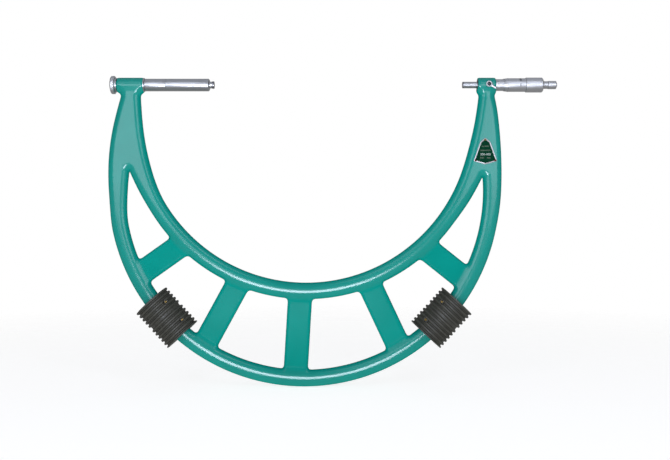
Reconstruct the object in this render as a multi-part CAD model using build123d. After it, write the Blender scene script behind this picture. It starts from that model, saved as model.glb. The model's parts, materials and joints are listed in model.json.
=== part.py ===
from build123d import *
import math
import os

# An outside micrometer for 300 to 400 mm with exchangeable anvils, shown with its longest anvil.
# Millimetres. The origin is the centre of the anvil's measuring face. X is the measuring axis, from the
# anvil towards the spindle, Z is up, and the frame is a flat casting in the XZ plane.

# --- measuring ---------------------------------------------------------------------------------------
RANGE_START = 300.0
READING = RANGE_START + 7.5
FIT = 0.05  # radial clearance of a running fit

# --- frame casting, where every point is (x, z) --------------------------------------------------------
FRAME_T = 15.0
EDGE_R = 7.0
THROAT = (113.8, -40.9)  # centre of the inner rail
THROAT_R = 204.0
THROAT_ARC = (-24.0, -148.0)  # where the inner rail's edge is round, in degrees from +X
INNER_RAIL_W = 20.65
OUTER = (111.4, -131.2)  # centre of the outer rail
OUTER_R = 242.45
OUTER_ARC = (-168.0, -12.0)
OUTER_RAIL_W = 20.8
LEFT_NECK = ((-91.6, -4.0), (-112.9, -4.0))  # where the arms end inside the bosses, throat side first
RIGHT_NECK = ((328.7, -4.0), (344.3, -4.0))
LEFT_ARM_OUT = ((-126.7, -58.3), (-131.4, -113.0), (-129.4, -150.6))  # from the neck down
LEFT_ARM_IN = ((-78.2, -103.1), (-87.0, -61.9))  # from the rail up
RIGHT_ARM_OUT = ((354.0, -150.6), (356.1, -115.0), (352.9, -48.2))
RIGHT_ARM_IN = ((323.3, -43.3), (314.0, -83.5))
CRESCENT_OUT = (-169.0, 4.4)  # the hole between the rails: its arc on the outer rail
CRESCENT_IN = (-37.0, -146.0)  # and its arc on the inner rail
LEFT_APEX = (-105.2, -106.5)
LEFT_APEX_SIDES = ((-95.1, -128.2), (-107.9, -147.0))
RIGHT_APEX_SIDE = (316.8, -142.8)
APEX_R = 1.6
HUB = (116.8, -86.5)  # the spokes point at this place
SPOKE_ANGLES = (-54.7, -28.7, -3.4, 25.2, 51.5)  # degrees from straight down, positive to the right
SPOKE_W = 30.0
SPOKE_T = 8.0
SPOKE_EDGE_R = 3.0
BOSS_R = 9.0
BOSS_EDGE = 1.5
LEFT_BOSS = (-120.4, -86.0)
RIGHT_BOSS = (325.9, 348.4)

# --- anvil -------------------------------------------------------------------------------------------
SHANK_R = 5.0
STUD_R = 4.0
ANVIL_R = 7.7
ANVIL_SHOULDER = -59.9
ANVIL_END = -5.6
ANVIL_NECK_R = 4.2
TIP_R = 4.6
TIP_LEN = 2.4
NUT_R = 11.15
NUT_RIM = 4.2
NUT_DOME = 1.8
WASHER_R = 8.6

# --- spindle, sleeves and thimble --------------------------------------------------------------------
SPINDLE_R = 4.0
INNER_SLEEVE_R = 6.0
INNER_SLEEVE_END = 386.0
OUTER_SLEEVE_R = 7.25
OUTER_SLEEVE_END = 379.5
THIMBLE_R = 8.35
THIMBLE_BORE_R = 7.5
THIMBLE_GAP = 2.2  # sleeve left showing when the micrometer reads the start of its range
THIMBLE_EDGE = RIGHT_BOSS[1] + THIMBLE_GAP + READING - RANGE_START
BEVEL_LEN = 5.2
DRUM_LEN = 27.5
GRIP_LEN = 21.3
GRIP_SEAT_R = 7.8
GRIP_R = 9.15
THIMBLE_WALL = 10.0
THIMBLE_END = THIMBLE_EDGE + DRUM_LEN + GRIP_LEN

# --- ratchet stop ------------------------------------------------------------------------------------
STEM_R = 4.7
STEM_LEN = 6.1
PIN_R = 1.6
KNOB_R = 5.05
KNOB_LEN = 10.3
KNOB_WALL = 3.0
KNOB_CAVITY_R = 3.5

# --- spindle lock ------------------------------------------------------------------------------------
LOCK_X = 339.1
LOCK_R = 2.2
LOCK_HUB_R = 3.3
LOCK_FRONT = -12.2
LEVER_ANGLE = -32.6  # degrees, in the XZ plane from +X
LEVER_LEN = 11.0

# --- name plate --------------------------------------------------------------------------------------
PLATE_X = 334.8
PLATE_T = 0.8
PLATE_TOP_Z = -65.9
PLATE_SHOULDER = 6.2
PLATE_SHOULDER_Z = -71.1
PLATE_CORNER = 14.7
PLATE_CORNER_Z = -94.8
PLATE_POINT_Z = -98.9
PLATE_CORNER_R = 1.6
PLATE_TOP_RIVET_Z = -68.5
PLATE_LOW_RIVETS_Z = -93.7
PLATE_RIVET_PITCH = 23.8

# --- hand grips --------------------------------------------------------------------------------------
GRIP_ANGLE = 47.2  # degrees from straight down to the middle of each grip
RIB_PITCH = 5.33
RIB_TIP_R = 24.5
RIB_ROOT_R = 21.9
RIB_TIP_HALF = 0.7
RIB_ROOT_HALF = 1.9
COLLARS = {"upper": (5, -27.8), "lower": (6, 1.15)}  # ribs, and where the first one is along the grip
COLLAR_LAND = {"upper": (1.2, 3.6), "lower": (3.6, 0.6)}  # from the end ribs' middles to the end faces
COLLAR_BEND = 0.15  # how far a collar turns with the curve of the rail
SCREW_U = {"upper": -14.8, "lower": 14.8}
SCREW_W = 14.6
SCREW_SHANK_R = 1.5
SCREW_HEAD_R = 2.5
SCREW_HEAD_Y = 13.4
SCREW_HOLE_Y = 11.5  # how far the blind hole reaches in the half away from the head


def turned(outline):
    """A solid turned about the X axis, from its closed (x, radius) outline."""
    points = [(x, 0, r) for x, r in outline]
    corners = [p for i, p in enumerate(points) if p != points[i - 1]]
    return revolve(make_face(Polyline(corners, close=True)), Axis.X)


def rod(x0, x1, radius, chamfer=0.0):
    """A plain rod along X, with the same chamfer at both ends."""
    c = chamfer
    return turned([(x0, 0), (x0, radius - c), (x0 + c, radius), (x1 - c, radius), (x1, radius - c), (x1, 0)])


def tube(x0, x1, radius, bore, chamfer=0.0):
    return rod(x0, x1, radius, chamfer) - rod(x0 - 1, x1 + 1, bore)


def along_y(radius, y0, y1, x, z):
    """A cylinder along Y from y0 to y1."""
    return Pos(x, (y0 + y1) / 2, z) * Rot(90, 0, 0) * Cylinder(radius, abs(y1 - y0))


def on_circle(centre, radius, degrees):
    """A point on a circle in the XZ plane, by its angle from +X."""
    a = math.radians(degrees)
    return (centre[0] + radius * math.cos(a), centre[1] + radius * math.sin(a))


def arc(centre, radius, span):
    """A circular arc in a sketch, between two angles in degrees from +X."""
    start, end = span
    return ThreePointArc(*[on_circle(centre, radius, a) for a in (start, (start + end) / 2, end)])


def heading(degrees, way):
    """The direction along a circle at that angle, anticlockwise for way 1 and clockwise for -1."""
    return on_circle((0, 0), 1, degrees + way * 90)


# --- frame -------------------------------------------------------------------------------------------


def outline():
    """The frame's outer edge, anticlockwise from the left end of the outer rail."""
    left_foot = on_circle(OUTER, OUTER_R, OUTER_ARC[0])
    right_foot = on_circle(OUTER, OUTER_R, OUTER_ARC[1])
    throat_right = on_circle(THROAT, THROAT_R, THROAT_ARC[0])
    throat_left = on_circle(THROAT, THROAT_R, THROAT_ARC[1])
    arc(OUTER, OUTER_R, OUTER_ARC)
    tangents = [heading(OUTER_ARC[1], 1), (-0.35, 1)]
    Spline(right_foot, *RIGHT_ARM_OUT, RIGHT_NECK[1], tangents=tangents)
    Line(RIGHT_NECK[1], RIGHT_NECK[0])
    tangents = [(-0.12, -1), heading(THROAT_ARC[0], -1)]
    Spline(RIGHT_NECK[0], *RIGHT_ARM_IN, throat_right, tangents=tangents)
    arc(THROAT, THROAT_R, THROAT_ARC)
    tangents = [heading(THROAT_ARC[1], -1), (-0.05, 1)]
    Spline(throat_left, *LEFT_ARM_IN, LEFT_NECK[0], tangents=tangents)
    Line(LEFT_NECK[0], LEFT_NECK[1])
    tangents = [(-0.28, -1), heading(OUTER_ARC[0], 1)]
    Spline(LEFT_NECK[1], *LEFT_ARM_OUT, left_foot, tangents=tangents)


def crescent():
    """The edge of the hole between the two rails, with a sharp apex at each end."""
    outside_r = OUTER_R - OUTER_RAIL_W
    inside_r = THROAT_R + INNER_RAIL_W
    right_apex = on_circle(OUTER, outside_r, CRESCENT_OUT[1])
    arc(OUTER, outside_r, CRESCENT_OUT)
    tangents = [(-0.5, -1), heading(CRESCENT_IN[0], -1)]
    Spline(right_apex, RIGHT_APEX_SIDE, on_circle(THROAT, inside_r, CRESCENT_IN[0]), tangents=tangents)
    arc(THROAT, inside_r, CRESCENT_IN)
    inside, outside = LEFT_APEX_SIDES
    tangents = [heading(CRESCENT_IN[1], -1), (-0.42, 1)]
    Spline(on_circle(THROAT, inside_r, CRESCENT_IN[1]), inside, LEFT_APEX, tangents=tangents)
    tangents = [(-0.12, -1), heading(CRESCENT_OUT[0], 1)]
    Spline(LEFT_APEX, outside, on_circle(OUTER, outside_r, CRESCENT_OUT[0]), tangents=tangents)


def plan():
    """The frame's plan with its arms, as one face with a crescent between the two rails."""
    with BuildSketch(Plane.XZ) as face:
        with BuildLine():
            outline()
        make_face()
        with BuildSketch(Plane.XZ, mode=Mode.SUBTRACT) as hole:
            with BuildLine():
                crescent()
            make_face()
            fillet(hole.vertices().sort_by(Axis.Y)[-2:], APEX_R)
    return face.sketch


def spoke(degrees):
    """One flat web between the middles of the two rails."""
    a = math.radians(degrees)
    ray = (math.sin(a), -math.cos(a))

    def reach(centre, radius):
        dx, dz = HUB[0] - centre[0], HUB[1] - centre[1]
        b = dx * ray[0] + dz * ray[1]
        return -b + math.sqrt(b * b - dx * dx - dz * dz + radius * radius)

    near = reach(THROAT, THROAT_R + INNER_RAIL_W / 2)
    far = reach(OUTER, OUTER_R - OUTER_RAIL_W / 2)
    middle = (near + far) / 2
    web = Box(SPOKE_W, SPOKE_T, far - near)
    web = fillet(web.edges().filter_by(Axis.Z), SPOKE_EDGE_R)
    return Pos(HUB[0] + middle * ray[0], 0, HUB[1] + middle * ray[1]) * Rot(0, -degrees, 0) * web


def frame():
    plate = extrude(plan(), FRAME_T / 2, both=True)
    faces = plate.edges().filter_by(lambda e: abs(abs(e.center().Y) - FRAME_T / 2) < 1e-3)
    rims = faces.filter_by(lambda e: e.center().Z < LEFT_NECK[0][1] - 1e-3)
    casting = fillet(rims, EDGE_R)
    for degrees in SPOKE_ANGLES:
        casting += spoke(degrees)
    for x0, x1 in (LEFT_BOSS, RIGHT_BOSS):
        casting += rod(x0, x1, BOSS_R, BOSS_EDGE)
    casting -= rod(LEFT_BOSS[0] - 1, LEFT_BOSS[1] + 1, SHANK_R + FIT)
    casting -= rod(RIGHT_BOSS[0] - 1, RIGHT_BOSS[1] + 1, INNER_SLEEVE_R)
    casting -= along_y(LOCK_R + FIT, -BOSS_R - 1, 0, LOCK_X, 0)
    return casting


def name_plate():
    """A bell-shaped plate: a narrow top, sloping sides and a shallow point below."""
    right = [(PLATE_SHOULDER, PLATE_SHOULDER_Z), (PLATE_CORNER, PLATE_CORNER_Z)]
    left = [(-x, z) for x, z in reversed(right)]
    outline = [(0, PLATE_TOP_Z), *right, (0, PLATE_POINT_Z), *left]
    with BuildSketch(Plane.XZ.offset(FRAME_T / 2)) as bell:
        with Locations((PLATE_X, 0)):
            Polygon([(x, z) for x, z in outline], align=None)
        fillet(bell.vertices(), PLATE_CORNER_R)
    return extrude(bell.sketch, PLATE_T)


def plate_rivets():
    front = -FRAME_T / 2 - PLATE_T
    rivets = Part()
    places = [(PLATE_X, PLATE_TOP_RIVET_Z)]
    places += [(PLATE_X + s * PLATE_RIVET_PITCH / 2, PLATE_LOW_RIVETS_Z) for s in (-1, 1)]
    for x, z in places:
        head = along_y(1.3, front - 0.5, front, x, z)
        rivets += fillet(head.edges().sort_by(Axis.Y)[:1], 0.35)
    return rivets


# --- anvil -------------------------------------------------------------------------------------------


def anvil_rod():
    """Stud, shank, thick body and neck of the anvil in one turned piece."""
    stud_end = LEFT_BOSS[0] - 6.9
    return turned(
        [
            (stud_end, 0),
            (stud_end, STUD_R - 0.6),
            (stud_end + 0.6, STUD_R),
            (LEFT_BOSS[0] + 0.5, STUD_R),
            (LEFT_BOSS[0] + 0.5, SHANK_R),
            (ANVIL_SHOULDER, SHANK_R),
            (ANVIL_SHOULDER, ANVIL_R - 0.3),
            (ANVIL_SHOULDER + 0.3, ANVIL_R),
            (ANVIL_END - 1.2, ANVIL_R),
            (ANVIL_END - 0.2, ANVIL_R - 1.1),
            (ANVIL_END - 0.2, ANVIL_NECK_R),
            (-TIP_LEN, ANVIL_NECK_R),
            (-TIP_LEN, 0),
        ]
    )


def anvil_collar():
    return tube(LEFT_BOSS[1] + 0.1, ANVIL_SHOULDER - 0.1, ANVIL_R, SHANK_R + FIT, 0.3)


def anvil_tip():
    return turned(
        [
            (-TIP_LEN, 0),
            (-TIP_LEN, TIP_R - 0.2),
            (-TIP_LEN + 0.4, TIP_R),
            (-0.3, TIP_R),
            (0, TIP_R - 0.3),
            (0, 0),
        ]
    )


def anvil_washer():
    return tube(LEFT_BOSS[0] - 2.1, LEFT_BOSS[0] - 0.05, WASHER_R, STUD_R + 0.2, 0.3)


def anvil_nut():
    """A round thumb nut with a domed outer face and a blind thread."""
    x0 = LEFT_BOSS[0] - 2.15
    rim = x0 - NUT_RIM
    shoulder = NUT_R - 0.9
    dome = rim - 0.9 - NUT_DOME
    dome_r = (shoulder**2 + NUT_DOME**2) / (2 * NUT_DOME)
    lean = math.asin(shoulder / dome_r) / 2
    with BuildSketch(Plane.XZ) as half:
        with BuildLine():
            Polyline(
                (dome, 0),
                (x0 - 5.2, 0),
                (x0 - 5.2, STUD_R + FIT),
                (x0, STUD_R + FIT),
                (x0, NUT_R - 0.8),
                (x0 - 0.8, NUT_R),
                (rim, NUT_R),
                (rim - 0.9, shoulder),
            )
            on_dome = (dome + dome_r * (1 - math.cos(lean)), dome_r * math.sin(lean))
            ThreePointArc((rim - 0.9, shoulder), on_dome, (dome, 0))
        make_face()
    return revolve(half.sketch, Axis.X)


# --- right boss and spindle --------------------------------------------------------------------------


def inner_sleeve():
    """The sleeve fixed in the right boss: it guides the spindle and carries its nut thread."""
    sleeve = tube(RIGHT_BOSS[0] + 1.0, INNER_SLEEVE_END, INNER_SLEEVE_R, SPINDLE_R + FIT, 0.3)
    return sleeve - along_y(LOCK_R - 0.1, -INNER_SLEEVE_R - 1, 0, LOCK_X, 0)


def outer_sleeve():
    return tube(RIGHT_BOSS[1], OUTER_SLEEVE_END, OUTER_SLEEVE_R, INNER_SLEEVE_R, 0.2)


def adjusting_nut():
    nut = tube(OUTER_SLEEVE_END + 0.4, INNER_SLEEVE_END + 0.4, OUTER_SLEEVE_R - 0.4, INNER_SLEEVE_R, 0.4)
    middle = (OUTER_SLEEVE_END + INNER_SLEEVE_END) / 2
    for turn in (0, 90, 180, 270):
        nut -= Rot(turn, 0, 0) * Pos(middle, 0, OUTER_SLEEVE_R) * Box(2.0, 2.4, 1.9)
    return nut


def lock_pad():
    return along_y(LOCK_R - 0.15, -6.5, -SPINDLE_R - 0.2, LOCK_X, 0)


def spindle():
    return rod(READING + 1.6, THIMBLE_END - 0.3, SPINDLE_R, 0.2)


def spindle_tip():
    return rod(READING, READING + 1.6, SPINDLE_R, 0.25)


def thimble():
    """The bevelled drum, its seat for the knurled grip, and the wall that holds the spindle."""
    seat = THIMBLE_EDGE + DRUM_LEN
    wall = THIMBLE_END - THIMBLE_WALL
    return turned(
        [
            (THIMBLE_EDGE, THIMBLE_BORE_R),
            (THIMBLE_EDGE, THIMBLE_BORE_R + 0.12),
            (THIMBLE_EDGE + BEVEL_LEN, THIMBLE_R),
            (seat, THIMBLE_R),
            (seat, GRIP_SEAT_R),
            (THIMBLE_END - 0.6, GRIP_SEAT_R),
            (THIMBLE_END - 0.6, SPINDLE_R + FIT),
            (wall, SPINDLE_R + FIT),
            (wall, THIMBLE_BORE_R),
        ]
    )


def thimble_grip():
    seat = THIMBLE_EDGE + DRUM_LEN
    return turned(
        [
            (seat + 0.05, GRIP_SEAT_R),
            (seat + 0.05, GRIP_R - 0.5),
            (seat + 0.55, GRIP_R),
            (THIMBLE_END - 1.3, GRIP_R),
            (THIMBLE_END, GRIP_R - 1.3),
            (THIMBLE_END, GRIP_SEAT_R),
        ]
    )


# --- ratchet stop ------------------------------------------------------------------------------------

STEM_X0 = THIMBLE_END + 0.1
KNOB_X0 = STEM_X0 + STEM_LEN + 0.2
KNOB_X1 = KNOB_X0 + KNOB_LEN


def ratchet_stem():
    """Round stem screwed to the spindle's end, with the pin that the knob turns on."""
    return turned(
        [
            (STEM_X0, 0),
            (STEM_X0, STEM_R + 0.6),
            (STEM_X0 + 0.8, STEM_R + 0.6),
            (STEM_X0 + 1.2, STEM_R),
            (STEM_X0 + STEM_LEN, STEM_R),
            (STEM_X0 + STEM_LEN, PIN_R),
            (KNOB_X1 - 0.3, PIN_R),
            (KNOB_X1 - 0.3, 1.0),
            (KNOB_X1 - 6.0, 1.0),
            (KNOB_X1 - 6.0, 0),
        ]
    )


def ratchet_knob():
    cavity_end = KNOB_X1 - KNOB_WALL
    return turned(
        [
            (KNOB_X0, KNOB_CAVITY_R),
            (KNOB_X0, KNOB_R - 0.4),
            (KNOB_X0 + 0.4, KNOB_R),
            (KNOB_X1 - 0.6, KNOB_R),
            (KNOB_X1, KNOB_R - 0.6),
            (KNOB_X1, PIN_R + FIT),
            (cavity_end, PIN_R + FIT),
            (cavity_end, KNOB_CAVITY_R),
        ]
    )


def ratchet_spring():
    """A small coil spring round the pin, inside the knob."""
    length = KNOB_X1 - KNOB_WALL - KNOB_X0 - 1.0
    path = Helix(pitch=length / 4, height=length, radius=2.5)
    section = Plane(origin=path @ 0, z_dir=path % 0) * Circle(0.35)
    return Pos(KNOB_X0 + 0.5, 0, 0) * Rot(0, 90, 0) * sweep(section, path=path, is_frenet=True)


def ratchet_screw():
    x = KNOB_X1 + 0.1
    screw = rod(x, x + 0.8, 2.6, 0.25) + rod(KNOB_X1 - 5.5, x + 0.2, 1.0)
    return screw - Pos(x + 0.8, 0, 0) * Box(0.8, 0.6, 6)


# --- spindle lock ------------------------------------------------------------------------------------


def lock_screw():
    screw = along_y(LOCK_R, LOCK_FRONT + 0.3, -6.7, LOCK_X, 0)
    socket = extrude(Plane.XZ.offset(-LOCK_FRONT - 0.3) * Pos(LOCK_X, 0) * RegularPolygon(1.45, 6), -3.0)
    return screw - socket


def lock_lever():
    """A ring fixed round the lock screw's head, with a tapered lever."""
    a = math.radians(LEVER_ANGLE)
    back = -BOSS_R - 0.6
    end = LEVER_LEN - 1.0
    with BuildSketch(Plane.XZ.offset(-back)) as arm:
        with BuildLine():
            CenterArc((0, 0), 1.9, 0, 360)
            CenterArc((end, 0), 1.0, 0, 360)
        make_hull()
    lever = extrude(arm.sketch, 1.9)
    lever = Pos(LOCK_X, 0, 0) * Rot(0, -math.degrees(a), 0) * lever
    lever += along_y(LOCK_HUB_R, LOCK_FRONT, back, LOCK_X, 0)
    return lever - along_y(LOCK_R, LOCK_FRONT - 1, back + 1, LOCK_X, 0)


# --- hand grips --------------------------------------------------------------------------------------


def collar_place(name):
    """The frame of one collar of the left grip: x along the rail, z towards the throat."""
    count, first = COLLARS[name]
    middle = first + (count - 1) * RIB_PITCH / 2
    rail_r = OUTER_R - OUTER_RAIL_W / 2
    along = math.degrees(middle / rail_r)
    at = on_circle(OUTER, rail_r, -90 - GRIP_ANGLE + along)
    turn = math.radians(GRIP_ANGLE - COLLAR_BEND * along)
    x_dir = (math.cos(turn), 0, -math.sin(turn))
    z_dir = (math.sin(turn), 0, math.cos(turn))
    return middle, Location(Plane(origin=(at[0], 0, at[1]), x_dir=x_dir, z_dir=z_dir))


def collar_blank(name):
    """A ribbed ring round the X axis, centred between its end ribs."""
    count, _ = COLLARS[name]
    before, after = COLLAR_LAND[name]
    half = (count - 1) * RIB_PITCH / 2
    outline = [(-half - before, 0)]
    for i in range(count):
        u = i * RIB_PITCH - half
        outline += [
            (max(u - RIB_ROOT_HALF, -half - before), RIB_ROOT_R),
            (max(u - RIB_TIP_HALF, -half - before), RIB_TIP_R),
            (min(u + RIB_TIP_HALF, half + after), RIB_TIP_R),
            (min(u + RIB_ROOT_HALF, half + after), RIB_ROOT_R),
        ]
    return turned(outline + [(half + after, RIB_ROOT_R), (half + after, 0)])


def screw_places(name):
    """Each collar's two screws: (u, w, side), one from the front and one from the back."""
    middle, _ = collar_place(name)
    u = SCREW_U[name] - middle
    return [(u, SCREW_W, -1), (u, -SCREW_W, 1)]


def collar_shell(name, side):
    """The front (side -1) or back (side 1) half of a collar."""
    shell = collar_blank(name) & Pos(0, side * (50 + 0.1), 0) * Box(100, 100, 100)
    shell -= Box(100, FRAME_T + 0.6, OUTER_RAIL_W + 2.0)
    for u, w, head in screw_places(name):
        shell -= along_y(SCREW_SHANK_R + FIT, head * 40, -head * SCREW_HOLE_Y, u, w)
        if head == side:
            shell -= along_y(SCREW_HEAD_R + 0.4, side * SCREW_HEAD_Y, side * 40, u, w)
    return shell


def screw(u, w, side):
    """A round-headed slotted screw along Y, with its head towards side."""
    top = SCREW_HEAD_Y + 1.6
    body = along_y(SCREW_SHANK_R, -side * 11.0, side * (SCREW_HEAD_Y + 0.5), u, w)
    head = along_y(SCREW_HEAD_R, side * SCREW_HEAD_Y, side * top, u, w)
    head = fillet(head.edges().filter_by(lambda e: abs(e.center().Y - side * top) < 0.01), 0.7)
    return body + head - Pos(u, side * top, w) * Rot(0, 35, 0) * Box(6, 1.4, 0.7)


def mirrored(shape):
    """The same piece on the other side of the frame."""
    return mirror(shape, about=Plane(origin=(OUTER[0], 0, 0), z_dir=(1, 0, 0)))


def grips():
    """Both grips: the left one as built, the right one as its mirror image."""
    pieces = {}
    screws = Part()
    for name in COLLARS:
        _, place = collar_place(name)
        for side, face in ((-1, "front"), (1, "back")):
            pieces[f"{name}_{face}"] = place * collar_shell(name, side)
        for spot in screw_places(name):
            screws += place * screw(*spot)
    pieces["screws"] = screws
    named = {}
    for name, shape in pieces.items():
        named[f"grip_left_{name}"] = shape
        named[f"grip_right_{name}"] = mirrored(shape)
    return named


PARTS = [
    frame,
    name_plate,
    plate_rivets,
    anvil_rod,
    anvil_collar,
    anvil_tip,
    anvil_washer,
    anvil_nut,
    inner_sleeve,
    outer_sleeve,
    adjusting_nut,
    lock_pad,
    spindle,
    spindle_tip,
    thimble,
    thimble_grip,
    ratchet_stem,
    ratchet_knob,
    ratchet_spring,
    ratchet_screw,
    lock_screw,
    lock_lever,
]


def main():
    os.makedirs("parts", exist_ok=True)
    nodes = {make.__name__: make() for make in PARTS}
    nodes.update(grips())
    for name, shape in nodes.items():
        export_step(shape, f"parts/{name}.step")


main()
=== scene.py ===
import json
import math

import bmesh
import bpy
import numpy as np
import openvdb
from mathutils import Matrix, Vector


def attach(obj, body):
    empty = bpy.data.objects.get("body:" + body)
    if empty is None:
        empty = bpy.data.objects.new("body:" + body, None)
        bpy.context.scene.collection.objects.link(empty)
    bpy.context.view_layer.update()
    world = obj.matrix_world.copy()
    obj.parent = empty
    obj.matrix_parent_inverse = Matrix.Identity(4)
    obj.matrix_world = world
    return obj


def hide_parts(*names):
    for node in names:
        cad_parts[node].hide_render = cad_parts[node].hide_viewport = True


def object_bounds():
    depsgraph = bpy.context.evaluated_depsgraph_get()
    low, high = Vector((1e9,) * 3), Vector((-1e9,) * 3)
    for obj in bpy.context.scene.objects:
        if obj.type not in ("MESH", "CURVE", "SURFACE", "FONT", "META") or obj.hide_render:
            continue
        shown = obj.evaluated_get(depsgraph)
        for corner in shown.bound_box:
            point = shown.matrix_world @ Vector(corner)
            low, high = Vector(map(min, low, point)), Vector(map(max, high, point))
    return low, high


# An outside micrometer for 300 to 400 mm. Sizes below are in millimetres in the row frame: the origin is
# the centre of the anvil's measuring face, +X runs towards the spindle, +Z is up and the front faces -Y.

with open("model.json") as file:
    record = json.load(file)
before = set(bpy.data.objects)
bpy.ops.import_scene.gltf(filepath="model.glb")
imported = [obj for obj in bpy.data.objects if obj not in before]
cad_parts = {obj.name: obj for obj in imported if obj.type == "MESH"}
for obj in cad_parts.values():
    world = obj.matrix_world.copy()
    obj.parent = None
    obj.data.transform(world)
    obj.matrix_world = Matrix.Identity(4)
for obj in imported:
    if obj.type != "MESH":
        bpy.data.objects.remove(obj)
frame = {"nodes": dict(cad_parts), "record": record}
CAD_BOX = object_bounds()
NODES = frame["nodes"]
MM = 0.001

# --- casting: the same plan as the CAD frame, where every point is (x, z) ------------------------------
VOXEL = 1.3
CURVE_STEP = 2.0
FRAME_T = 15.0
THROAT = (113.8, -40.9)
THROAT_R = 204.0
THROAT_ARC = (-24.0, -148.0)
INNER_RAIL_W = 20.65
OUTER = (111.4, -131.2)
OUTER_R = 242.45
OUTER_ARC = (-168.0, -12.0)
OUTER_RAIL_W = 20.8
LEFT_NECK = ((-91.6, -4.0), (-112.9, -4.0))
RIGHT_NECK = ((328.7, -4.0), (344.3, -4.0))
LEFT_ARM_OUT = ((-126.7, -58.3), (-131.4, -113.0), (-129.4, -150.6))
LEFT_ARM_IN = ((-78.2, -103.1), (-87.0, -61.9))
RIGHT_ARM_OUT = ((354.0, -150.6), (356.1, -115.0), (352.9, -48.2))
RIGHT_ARM_IN = ((323.3, -43.3), (314.0, -83.5))
CRESCENT_OUT = (-169.0, 4.4)
CRESCENT_IN = (-37.0, -146.0)
LEFT_APEX = (-105.2, -106.5)
LEFT_APEX_SIDES = ((-95.1, -128.2), (-107.9, -147.0))
RIGHT_APEX_SIDE = (316.8, -142.8)
HUB = (116.8, -86.5)
SPOKE_ANGLES = (-54.7, -28.7, -3.4, 25.2, 51.5)
SPOKE_W = 30.0
SPOKE_T = 8.0
SPOKE_EDGE_R = 3.0
SPOKE_BLEND = 4.0
EDGE_W = 9.5  # the rails' rounded edge: how far it reaches in, and how deep it is
EDGE_H = 7.4
BOSS_R = 9.0
BOSS_EDGE = 1.5
BOSS_BLEND = 7.0
LEFT_BOSS = (-120.4, -86.0)
RIGHT_BOSS = (325.9, 348.4)
SPOT_FACE = 1.2  # bare turned band at the throat end of the left boss

# --- turned parts --------------------------------------------------------------------------------------
SHANK_R = 5.0
ANVIL_R = 7.7
ANVIL_SHOULDER = -59.9
SPINDLE_FACE = 307.5
SLEEVE_R = 7.25
THIMBLE_EDGE = 358.1
THIMBLE_R = 8.35
BEVEL_LEN = 5.2
BEVEL_R = 7.62  # at the bevel's thin end
GRIP_START = 385.6
THIMBLE_END = 406.9
GRIP_R = 9.15
KNOB_START = 413.3
KNOB_END = 423.6
KNOB_R = 5.05
LOCK_X = 339.1
LEVER_ANGLE = -32.6

# --- name plate ----------------------------------------------------------------------------------------
PLATE_X = 334.8
PLATE = ((0, -65.9), (6.2, -71.1), (14.7, -94.8), (0, -98.9), (-14.7, -94.8), (-6.2, -71.1))
PLATE_BORDER = 1.35

# --- hand grips ----------------------------------------------------------------------------------------
GRIP_ANGLE = 47.2
RIB_PITCH = 5.33
RIB_TIP_R = 24.5
RIB_ROOT_R = 22.1
# ribs, place of the first one, land before the first and after the last, and place of the screws
COLLARS = {"upper": (5, -27.8, 1.2, 3.75, -14.8), "lower": (6, 1.15, 3.75, 0.6, 14.8)}
SCREW_W = 14.6


# --- materials -----------------------------------------------------------------------------------------


def new_material(name, colour, metallic=0.0, roughness=0.4):
    """A Principled material, its node tree and its shader."""
    mat = bpy.data.materials.new(name)
    mat.use_nodes = True
    shader = mat.node_tree.nodes["Principled BSDF"]
    shader.inputs["Base Color"].default_value = (*colour, 1)
    shader.inputs["Metallic"].default_value = metallic
    shader.inputs["Roughness"].default_value = roughness
    return mat, mat.node_tree, shader


def noise(tree, scale, detail=3.0, stretch=(1, 1, 1)):
    """Noise in the row frame, in cycles a metre. Returns its value."""
    place = tree.nodes.new("ShaderNodeTexCoord")
    mapping = tree.nodes.new("ShaderNodeMapping")
    mapping.inputs["Scale"].default_value = stretch
    texture = tree.nodes.new("ShaderNodeTexNoise")
    texture.inputs["Scale"].default_value = scale
    texture.inputs["Detail"].default_value = detail
    tree.links.new(place.outputs["Object"], mapping.inputs["Vector"])
    tree.links.new(mapping.outputs["Vector"], texture.inputs["Vector"])
    return texture.outputs["Fac"]


def spread(tree, value, low, high, start=0.3, end=0.7):
    """The value's range from start to end spread between low and high."""
    node = tree.nodes.new("ShaderNodeMapRange")
    node.inputs["From Min"].default_value = start
    node.inputs["From Max"].default_value = end
    node.inputs["To Min"].default_value = low
    node.inputs["To Max"].default_value = high
    tree.links.new(value, node.inputs["Value"])
    return node.outputs["Result"]


def maths(tree, operation, a, b=None):
    """A maths node of one or two values, where b may be a constant."""
    node = tree.nodes.new("ShaderNodeMath")
    node.operation = operation
    tree.links.new(a, node.inputs[0])
    if isinstance(b, (int, float)):
        node.inputs[1].default_value = b
    elif b is not None:
        tree.links.new(b, node.inputs[1])
    return node.outputs[0]


def shades(tree, value, dark, light):
    """A colour between two, by value."""
    node = tree.nodes.new("ShaderNodeMix")
    node.data_type = "RGBA"
    node.inputs["A"].default_value = (*dark, 1)
    node.inputs["B"].default_value = (*light, 1)
    tree.links.new(value, node.inputs["Factor"])
    return node.outputs["Result"]


def bump(tree, shader, height, distance):
    """A bump of that height in metres, over any bump the shader has already."""
    node = tree.nodes.new("ShaderNodeBump")
    node.inputs["Distance"].default_value = distance
    tree.links.new(height, node.inputs["Height"])
    socket = shader.inputs["Normal"]
    if socket.links:
        tree.links.new(socket.links[0].from_socket, node.inputs["Normal"])
    tree.links.new(node.outputs["Normal"], socket)


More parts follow.
